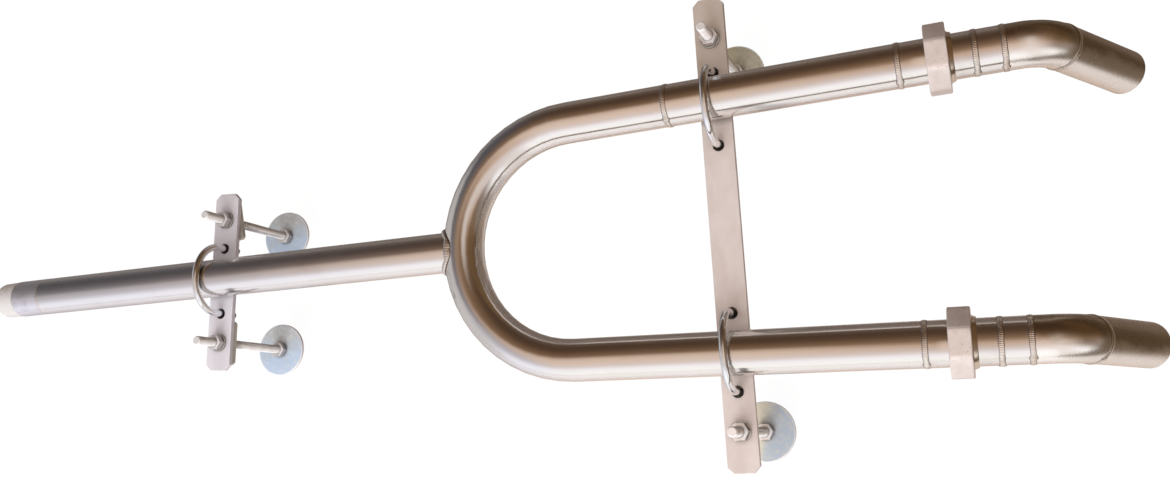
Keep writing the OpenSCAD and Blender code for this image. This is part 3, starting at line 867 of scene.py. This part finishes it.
def saddleWeld():  # follows the cope, from the stem onto the bend
    settings = saddleShape
    toeTop = math.sqrt(tubeRadius ** 2 - (stemSquare + settings["reach"]) ** 2)
    root = tubeRadius - settings["rootSunk"]
    swell = wander((3, 5, 8, 13), settings["unevenness"])
    rings = []
    crest = []
    for a in around(settings["stations"]):
        lean = abs(math.sin(a)) ** 1.3
        edge = min(stemSquare, bendX(a, tubeRadius))
        bendToe = toeTop + lean * (tubeRadius + settings["reach"] - toeTop)
        stemToe = np.array([edge - settings["reach"], tubeRadius - weldShape["sunk"]])
        farToe = np.array([bendX(a, bendToe) + weldShape["sunk"], bendToe])
        chord = farToe - stemToe
        out = np.array([-chord[1], chord[0]]) / np.linalg.norm(chord)
        section = []
        for t in np.linspace(0, 1, settings["rows"]):
            wave = math.cos(settings["ripples"] * a + weldShape["rippleBow"] * (2 * t - 1) ** 2)
            rise, top = rippled((4 * t * (1 - t)) ** 0.8, wave)
            section.append(stemToe + t * chord + settings["height"] * (1 + swell(a)) * rise * out)
            crest.append(top)
        section.append(np.array([bendX(a, root) + settings["rootLap"], root]))
        crest.append(0.4)
        rings.append([(x, r * math.sin(a), r * math.cos(a)) for x, r in section])
    shape = Shape()
    shape.rings(rings, True, crest=crest)
    shape.piece("saddleWeld", "saddle_weld", stemPlace, sharp=60.0)


saddleWeld()
print("welds laid")

threadShape = {
    "profile": ((0.06, 1.0), (0.44, 0.0), (0.56, 0.0), (0.94, 1.0)),  # share of a turn, share of the depth
    "rodDepth": 0.61,  # of the pitch
    "rodSegments": 24,
}


def threadRows(shape, start, end, major, pitch, depth, segments, chamfer, taper=0.0):
    perTurn = len(threadShape["profile"])
    rows = []
    for k in range(-1, math.ceil((end - start) / pitch) + 2):
        for fraction, share in threadShape["profile"]:
            ring = []
            for j in range(segments):
                x = start + (k + fraction + j / segments) * pitch
                x = min(max(x, start), end)
                radius = major - taper * (end - x) - share * depth
                radius = min(radius, major - chamfer + min(x - start, end - x))
                angle = 2 * math.pi * j / segments
                ring.append((x, radius * math.sin(angle), radius * math.cos(angle)))
            rows.append(ring)
    points = [p for ring in rows for p in ring]
    first = shape.add(points, unbent=points)
    for i in range(len(rows) - 1):
        a = first + i * segments
        for j in range(segments - 1):
            shape.faces.append((a + j, a + segments + j, a + segments + j + 1, a + j + 1))
        if i + 1 + perTurn < len(rows):  # the last column joins the next turn's first
            b = a + perTurn * segments
            shape.faces.append((a + segments - 1, a + 2 * segments - 1, b + segments, b))


def threadedRod(shape, length, major, pitch, chamfer):
    segments = threadShape["rodSegments"]
    threadRows(shape, 0.0, length, major, pitch, threadShape["rodDepth"] * pitch, segments, chamfer)
    for x, flip in ((0.0, True), (length, False)):
        ring = ringAt(x, major - chamfer, around(segments))
        shape.cap(shape.add(ring, unbent=ring), segments, flip)


def inletNipple():
    settings = nippleShape
    low, high = extentIn("inlet_nipple", stemPlace)
    shoulder = low[0] + settings["threadLength"]
    edge = settings["mouthEdge"]
    rim = settings["threadMajor"] - settings["chamfer"]
    shape = Shape()
    profile = [(high[0] - n, tubeRadius) for n in settings["stations"]]
    profile += [(shoulder + settings["shoulderEdge"], tubeRadius),
                (shoulder, tubeRadius - settings["shoulderEdge"]), (shoulder, tubeInside),
                (high[0], tubeInside)]
    lathe(shape, profile)
    threadRows(shape, low[0], shoulder, settings["threadMajor"], settings["pitch"],
               settings["depth"] * settings["pitch"], len(tubeAngles), settings["chamfer"],
               settings["taper"])
    lathe(shape, [(low[0], rim - settings["taper"] * settings["threadLength"]), (low[0], tubeInside + edge),
                  (low[0] + edge, tubeInside), (shoulder, tubeInside)], closed=False)
    shape.piece("inletNipple", "inlet_nipple", stemPlace, finish=cutSteel)


inletNipple()


def octagon(turn):  # angles and radii, its corners a little blunt
    apothem = unionShape["flats"] / 2
    bluntFrom = unionShape["bluntFrom"]
    deltas = (-22.5, -22.1, -21.4, -20.2, -17, -11, -4, 4, 11, 17, 20.2, 21.4, 22.1)
    angles = []
    radii = []
    for flat in range(8):
        for delta in deltas:
            angles.append(turn + math.radians(22.5 + 45 * flat + delta))
            nearCorner = max(0.0, (abs(delta) - bluntFrom) / (22.5 - bluntFrom))
            blunt = unionShape["cornerBlunt"] * nearCorner ** 2
            radii.append(apothem / math.cos(math.radians(delta)) - blunt)
    return np.array(angles), np.array(radii)


def unionNut(side):  # octagon, then the turned hub
    settings = unionShape
    node = side + "_union_nut"
    place = arms[side]["nut"]
    local = pointsIn(node, place)
    corner = local[np.hypot(local[:, 1], local[:, 2]).argmax()]
    end = float(local[:, 0].max())
    angles, radii = octagon(math.atan2(corner[1], corner[2]))
    edge = settings["edge"]
    length = settings["octagonLength"]
    hubRadius = tubeRadius + settings["hubOver"]
    hubEdge = settings["hubEdge"]
    bore = tubeRadius + settings["play"]
    boreEdge = settings["boreEdge"]
    seat = length - settings["seatDepth"]
    mouth = settings["threadRadius"] + settings["mouthOver"]
    mouthEdge = settings["mouthEdge"]
    rolled = [(x * edge, np.minimum(radii - 0.6 * inset * edge, float(radii.max()) - 1.6 * inset * edge))
              for x, inset in ((0, 1.6), (0.25, 0.8), (1, 0.15))]
    rows = [ringAt(x, values, angles) for x, values in rolled]
    rows += [ringAt(2 * edge, radii, angles), ringAt(length - 2 * edge, radii, angles)]
    rows += [ringAt(length - x, values, angles) for x, values in reversed(rolled)]
    profile = [(length + x, hubRadius + over) for x, over in settings["hubFillet"]]
    profile += [(end - hubEdge, hubRadius), (end, hubRadius - hubEdge), (end, bore + boreEdge),
                (end - boreEdge, bore), (seat, bore), (seat, mouth), (mouthEdge, mouth),
                (0, mouth + mouthEdge)]
    rows += [ringAt(x, radius, angles) for x, radius in profile]
    shape = Shape()
    shape.rings(rows, True, unbent=[point for row in rows for point in row])
    shape.piece(side + "UnionNut", node, place, sharp=28.0)


def plainEnd(end, direction):  # rows of a fitting's plain end, from its weld
    return [(end + direction * n, tubeRadius) for n in unionShape["plainRows"]]


def unionEnd(side):
    node = side + "_union_end"
    low, high = extentIn(node, arms[side]["nut"])
    head = unionShape["threadRadius"]
    headFrom = unionShape["headFrom"]
    edge = unionShape["headEdge"]
    neck = [(x, tubeRadius + over) for x, over in unionShape["neckFillet"]]
    shape = Shape()
    lathe(shape, [(low[0], tubeInside), *plainEnd(low[0], 1), *neck, (headFrom, head - edge),
                  (headFrom + edge, head), (high[0] - edge, head), (high[0], head - edge),
                  (high[0], tubeInside)])
    shape.piece(side + "UnionEnd", node, arms[side]["nut"])


def tailpiece(side):  # a collar that the nut holds, on a short neck
    node = side + "_tailpiece"
    low, high = extentIn(node, arms[side]["tip"])
    collar = float(high[1])
    back = low[0] + unionShape["collarLength"]
    edge = unionShape["collarEdge"]
    fillet = unionShape["collarFillet"]
    shape = Shape()
    lathe(shape, [(low[0], tubeInside), (low[0], collar - edge), (low[0] + edge, collar),
                  (back - edge, collar), (back, collar - edge), (back, tubeRadius + fillet),
                  (back + fillet, tubeRadius), *plainEnd(high[0], -1)[::-1], (high[0], tubeInside)])
    shape.piece(side + "Tailpiece", node, arms[side]["tip"])


for side in sides:
    unionNut(side)
    unionEnd(side)
    tailpiece(side)
print("nipple and unions made")

bracketShape = {
    "barEdge": 0.00045,  # rolled edge of the flat bars
    "barChamfer": 0.005,
    "holeRadius": 0.0045,
    "rimPoints": 40,  # round a hole
    "boltPitch": 0.0010,
    "boltThread": 0.016,  # threaded length of each U-bolt leg
    "boltChamfer": 0.0006,
    "boltSegments": 28,
    "legRows": 5,
    "crownRows": 41,
    "studPitch": 0.00125,
    "studChamfer": 0.0008,
}


def flatBar(name, node, matrix, holes, finish=None):  # in the placement's XY plane, holes as (x, y)
    settings = bracketShape
    low, high = extentIn(node, matrix)
    edge = settings["barEdge"]
    curve = bpy.data.curves.new(name, "CURVE")
    curve.dimensions = "2D"
    curve.fill_mode = "BOTH"
    curve.extrude = (high[2] - low[2]) / 2 - edge
    curve.bevel_depth = edge
    curve.bevel_resolution = 2
    curve.offset = -edge
    c = settings["barChamfer"]
    x0, y0, x1, y1 = low[0], low[1], high[0], high[1]
    loops = [[(x1 - c, y1), (x0 + c, y1), (x0, y1 - c), (x0, y0 + c),
              (x0 + c, y0), (x1 - c, y0), (x1, y0 + c), (x1, y1 - c)]]
    radius = settings["holeRadius"]
    turns = [-2 * math.pi * i / settings["rimPoints"] for i in range(settings["rimPoints"])]
    loops += [[(x + radius * math.cos(a), y + radius * math.sin(a)) for a in turns] for x, y in holes]
    for loop in loops:
        spline = curve.splines.new("POLY")
        spline.points.add(len(loop) - 1)
        for point, (x, y) in zip(spline.points, loop):
            point.co = (x, y, 0, 1)
        spline.use_cyclic_u = True
    holder = bpy.data.objects.new(name + "Outline", curve)
    scene.collection.objects.link(holder)
    mesh = bpy.data.meshes.new_from_object(holder)
    bpy.data.objects.remove(holder)
    mesh.transform(Matrix(matrix.tolist()) @ Matrix.Translation((0, 0, (high[2] + low[2]) / 2)))
    mesh.name = name
    mesh.shade_smooth()
    mesh.set_sharp_from_angle(angle=math.radians(40))
    mesh.materials.clear()
    addPiece(name, mesh, node, finish)


def uBolt(name, node, matrix):  # returns its middle and half its span along the bar
    settings = bracketShape
    low, high = extentIn(node, matrix)
    rod = float(high[0] - low[0]) / 2
    middle = float(low[1] + high[1]) / 2
    reach = float(high[1] - low[1]) / 2 - rod  # radius of the crown
    crown = float(high[2]) - rod - reach
    bottom = float(low[2])
    shape = Shape()
    angles = around(settings["boltSegments"])
    smoothEnd = bottom + settings["boltThread"]
    line = [(middle - reach, z, 0.0) for z in np.linspace(smoothEnd, crown, settings["legRows"])[:-1]]
    line += [(middle - reach * math.cos(a), crown + reach * math.sin(a), a)
             for a in np.linspace(0, math.pi, settings["crownRows"])]
    line += [(middle + reach, z, math.pi) for z in np.linspace(crown, smoothEnd, settings["legRows"])[1:]]
    rings = []
    unbent = []
    travel = 0.0
    last = np.array([0, line[0][0], line[0][1]])
    for y, z, a in line:
        out = np.array([0, -math.cos(a), math.sin(a)])
        point = np.array([0, y, z])
        travel += float(np.linalg.norm(point - last))
        last = point
        rings.append([point + rod * (math.cos(b) * out + math.sin(b) * np.array([1, 0, 0])) for b in angles])
        unbent.extend([(travel, rod * math.cos(b), rod * math.sin(b)) for b in angles])
    start = shape.rings(rings, unbent=unbent)
    shape.cap(start, len(angles))
    shape.cap(start + (len(rings) - 1) * len(angles), len(angles), True)
    leg = Shape()
    threadedRod(leg, settings["boltThread"], rod, settings["boltPitch"], settings["boltChamfer"])
    for y in (middle - reach, middle + reach):
        base = shape.add([(p[1], y + p[2], bottom + p[0]) for p in leg.points], **leg.layers)
        shape.faces.extend([tuple(base + i for i in face) for face in leg.faces])
    shape.piece(name, node, matrix, finish=polishedBolt)
    return middle, reach


def bracketPlace(group):  # +X along the tube, +Y along the bar, and half the studs' span
    left = np.array(mounts[group + "_left_rest"]["pos_m"])
    right = np.array(mounts[group + "_right_rest"]["pos_m"])
    span = float(np.linalg.norm(left - right))
    return placement((left + right) / 2, np.cross((left - right) / span, (0, 0, 1))), span / 2


bracketBolts = {"stem": ["stem_u_bolt"], "cross": ["left_u_bolt", "right_u_bolt"]}
for group, bolts in bracketBolts.items():
    place, studAt = bracketPlace(group)
    holes = [(0, studAt), (0, -studAt)]
    for node in bolts:
        middle, reach = uBolt(node.replace("_u_bolt", "UBolt"), node, place)
        holes += [(0, middle + reach), (0, middle - reach)]
    flatBar(group + "Bar", group + "_bar", place, holes, greyBar if group == "stem" else None)


def standing(node):  # a round node's placement with +X up, its radius and height
    low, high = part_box(node)
    middle = (low + high) / 2
    matrix = placement((middle.x, middle.y, low.z), (0, 0, 1), (1, 0, 0))
    return matrix, (high.x - low.x) / 2, high.z - low.z


def threadedStud(node, name):
    matrix, radius, height = standing(node)
    shape = Shape()
    threadedRod(shape, height, radius, bracketShape["studPitch"], bracketShape["studChamfer"])
    shape.piece(name, node, matrix, finish=threadZinc)


def footWasher(node, name, finish=None):
    settings = washerShape
    matrix, outside, thick = standing(node)
    inside = settings["bore"]
    roll = settings["roll"]  # the punched edge is rounded on one side
    profile = [(0, inside), (0, outside - settings["edge"]), (settings["edge"], outside)]
    for a in np.linspace(0, math.pi / 2, settings["rollRows"]):
        profile.append((thick - roll + roll * math.sin(a), outside - roll + roll * math.cos(a)))
    profile += [(thick, (outside + inside) / 2), (thick, inside + settings["boreEdge"]),
                (thick - settings["boreEdge"], inside)]
    shape = Shape()
    lathe(shape, profile)
    shape.piece(name, node, matrix, finish=finish)


washerFinish = {"cross_left": oliveZinc, "cross_right": yellowZinc}
for group in bracketBolts:
    for side in sides:
        node = group + "_" + side
        name = group + side.capitalize()
        threadedStud(node + "_stud", name + "Stud")
        footWasher(node + "_foot_washer", name + "FootWasher", washerFinish.get(node))
print("brackets and feet made")

for node, thing in frame["nodes"].items():  # what stays from the model gets its finish
    if not thing.hide_render:
        thing.data.materials.clear()
        thing.data.materials.append(finishes[slotOf[node]])

stageShape = {
    "floorSize": 14.0,
    "floorDrop": 0.0205,  # leaves room for a foot screwed down to its limit
    "whiteShare": 0.93,  # the rest of the floor takes the shadow
    "glossShare": 0.82,
    "dull": (0.66, 0.65, 0.64),
    "gloss": (0.97, 0.96, 0.95),
    "glossRoughness": 0.22,
    "pale": (0.90, 0.90, 0.90),
    "glow": 1.03,
    "brown": (0.11, 0.08, 0.05),  # beyond the open tips, seen in the tubes only
    "brownFrom": 0.58,
    "brownFull": 0.66,
}


def floorMaterial():  # white to the camera, polished to everything else
    settings = stageShape
    s = newShader("paleFloor")
    isCamera = s.add("ShaderNodeLightPath", None, None, 0)
    dull = s.add("ShaderNodeBsdfDiffuse", None, {"Color": settings["dull"]})
    gloss = s.add("ShaderNodeBsdfGlossy", None,
                  {"Color": settings["gloss"], "Roughness": settings["glossRoughness"]})
    polished = s.add("ShaderNodeMixShader", None, {0: settings["glossShare"], 1: dull, 2: gloss})
    beyond = s.ramp(s.part(s.place(), 0), settings["brownFrom"], settings["brownFull"])
    brown = s.add("ShaderNodeBsdfDiffuse", None, {"Color": settings["brown"]})
    polished = s.add("ShaderNodeMixShader", None, {0: beyond, 1: polished, 2: brown})
    pale = s.add("ShaderNodeBsdfDiffuse", None, {"Color": settings["pale"]})
    glow = s.add("ShaderNodeEmission", None, {"Color": (1.0, 1.0, 1.0), "Strength": settings["glow"]})
    seen = s.add("ShaderNodeMixShader", None, {0: settings["whiteShare"], 1: pale, 2: glow})
    surface = s.add("ShaderNodeMixShader", None, {0: isCamera, 1: polished, 2: seen})
    s.add("ShaderNodeOutputMaterial", None, {"Surface": surface})
    return s.owner


half = stageShape["floorSize"] / 2
corners = [(x, y, -stageShape["floorDrop"]) for x, y in
           ((-half, -half), (half, -half), (half, half), (-half, half))]
floorMesh = bpy.data.meshes.new("floor")
floorMesh.from_pydata(corners, [], [(0, 1, 2, 3)])
floorMesh.materials.append(floorMaterial())
floor = bpy.data.objects.new("floor", floorMesh)
scene.collection.objects.link(floor)

studio = {  # 0-255 shades of what the metal mirrors
    "arch": [(-90, (96, 80, 68)), (-62, (74, 56, 44)), (-42, (84, 63, 47)), (-26, (108, 83, 63)),
             (-12, (128, 101, 78)), (0, (160, 132, 108)), (8, (190, 163, 142)), (22, (204, 180, 164)),
             (34, (210, 195, 189)), (48, (232, 222, 220)), (60, (250, 246, 248)), (76, (255, 253, 251)),
             (90, (255, 252, 248))],  # degrees from behind, over the top, to the front
    "cool": (0.965, 0.955, 1.06),  # tints a grey arch towards the stem's end
    "coolAlong": (-0.35, -0.70),
    "coolShare": 0.85,
    "greyGain": 0.88,
    "greyLift": 0.045,
    "strength": 1.15,
}
# laid over the arch in this order, each inside the ramps that it lists
patches = {
    "stemEnd": {"shade": (196, 192, 190), "strength": 0.85, "along": [(-0.74, -0.90)]},
    "window": {"shade": (232, 210, 194), "strength": 0.5, "along": [(-0.04, -0.22), (-0.62, -0.42)],
               "turn": [(-0.30, 0.05), (0.85, 0.5)]},
    "strip": {"shade": (218, 208, 202), "strength": 0.75, "along": [(0.08, 0.25), (0.62, 0.42)],
              "turn": [(-0.5, -0.1)]},
    "tipEnd": {"shade": (104, 80, 55), "strength": 0.85, "low": [(0.0, 0.3)], "across": [(-0.75, -0.45)]},
}


def studioWorld():
    world = bpy.data.worlds.new("studio")
    scene.world = world
    s = Shader(world)
    direction = s.add("ShaderNodeTexCoord", None, None, 0)
    along, across, height = [s.part(direction, axis) for axis in range(3)]
    turn = s.add("ShaderNodeMath", {"operation": "ARCTAN2"}, {0: across * -1.0, 1: height})
    share = turn / (2 * math.pi) + 0.5  # 0.5 overhead, 0.75 level in front, 0.25 level behind
    stops = [((angle + 180) / 360, linear(*shade)) for angle, shade in studio["arch"]]
    arch = s.add("ShaderNodeValToRGB", {"stops": stops}, {0: share})
    grey = s.add("ShaderNodeRGBToBW", None, {0: arch}) * studio["greyGain"] + studio["greyLift"]
    cool = s.mix(1.0, grey, studio["cool"], "MULTIPLY")
    shade = s.mix(s.ramp(along, *studio["coolAlong"]) * studio["coolShare"], arch, cool)
    measures = {"along": along, "across": across, "turn": turn, "low": along - height * 0.8}
    for patch in patches.values():
        mask = patch["strength"]
        for measure in measures:
            for low, high in patch.get(measure, []):
                mask = s.ramp(measures[measure], low, high) * mask
        shade = s.mix(mask, shade, linear(*patch["shade"]))
    isCamera = s.add("ShaderNodeLightPath", None, None, 0)
    white = s.mix(isCamera, shade, (1.0, 1.0, 1.0))
    glow = s.add("ShaderNodeBackground", None, {"Color": white, "Strength": studio["strength"]})
    s.add("ShaderNodeOutputWorld", None, {"Surface": glow})


studioWorld()

lamps = {  # soft, and not mirrored in the metal
    "softFront": {"at": (-0.3, -1.6, 1.5), "size": (1.4, 1.0), "energy": 42.0, "colour": (1.0, 0.99, 0.98)},
    "softTop": {"at": (0.1, 0.1, 2.2), "size": (1.8, 1.8), "energy": 20.0, "colour": (1.0, 0.98, 0.96)},
}
middle = (cadBox[0] + cadBox[1]) / 2
for name, settings in lamps.items():
    light = bpy.data.lights.new(name, "AREA")
    light.shape = "RECTANGLE"
    light.size, light.size_y = settings["size"]
    light.energy = settings["energy"]
    light.color = settings["colour"]
    lamp = bpy.data.objects.new(name, light)
    lamp.location = settings["at"]
    lamp.location.x += middle.x
    lamp.rotation_euler = (middle - lamp.location).to_track_quat("-Z", "Y").to_euler()
    lamp.visible_glossy = False
    scene.collection.objects.link(lamp)

cameraView = {"location": (0.38354, -0.16571, 0.95147), "rotation": (9.746, 20.1655, -2.5677), "lens": 34.612}
lens = bpy.data.cameras.new("camera")
lens.sensor_width = 36.0
lens.lens = cameraView["lens"]
camera = bpy.data.objects.new("camera", lens)
camera.location = cameraView["location"]
camera.rotation_euler = [math.radians(a) for a in cameraView["rotation"]]
scene.collection.objects.link(camera)
scene.camera = camera
scene.view_settings.view_transform = "Standard"
print("floor, light and camera set")
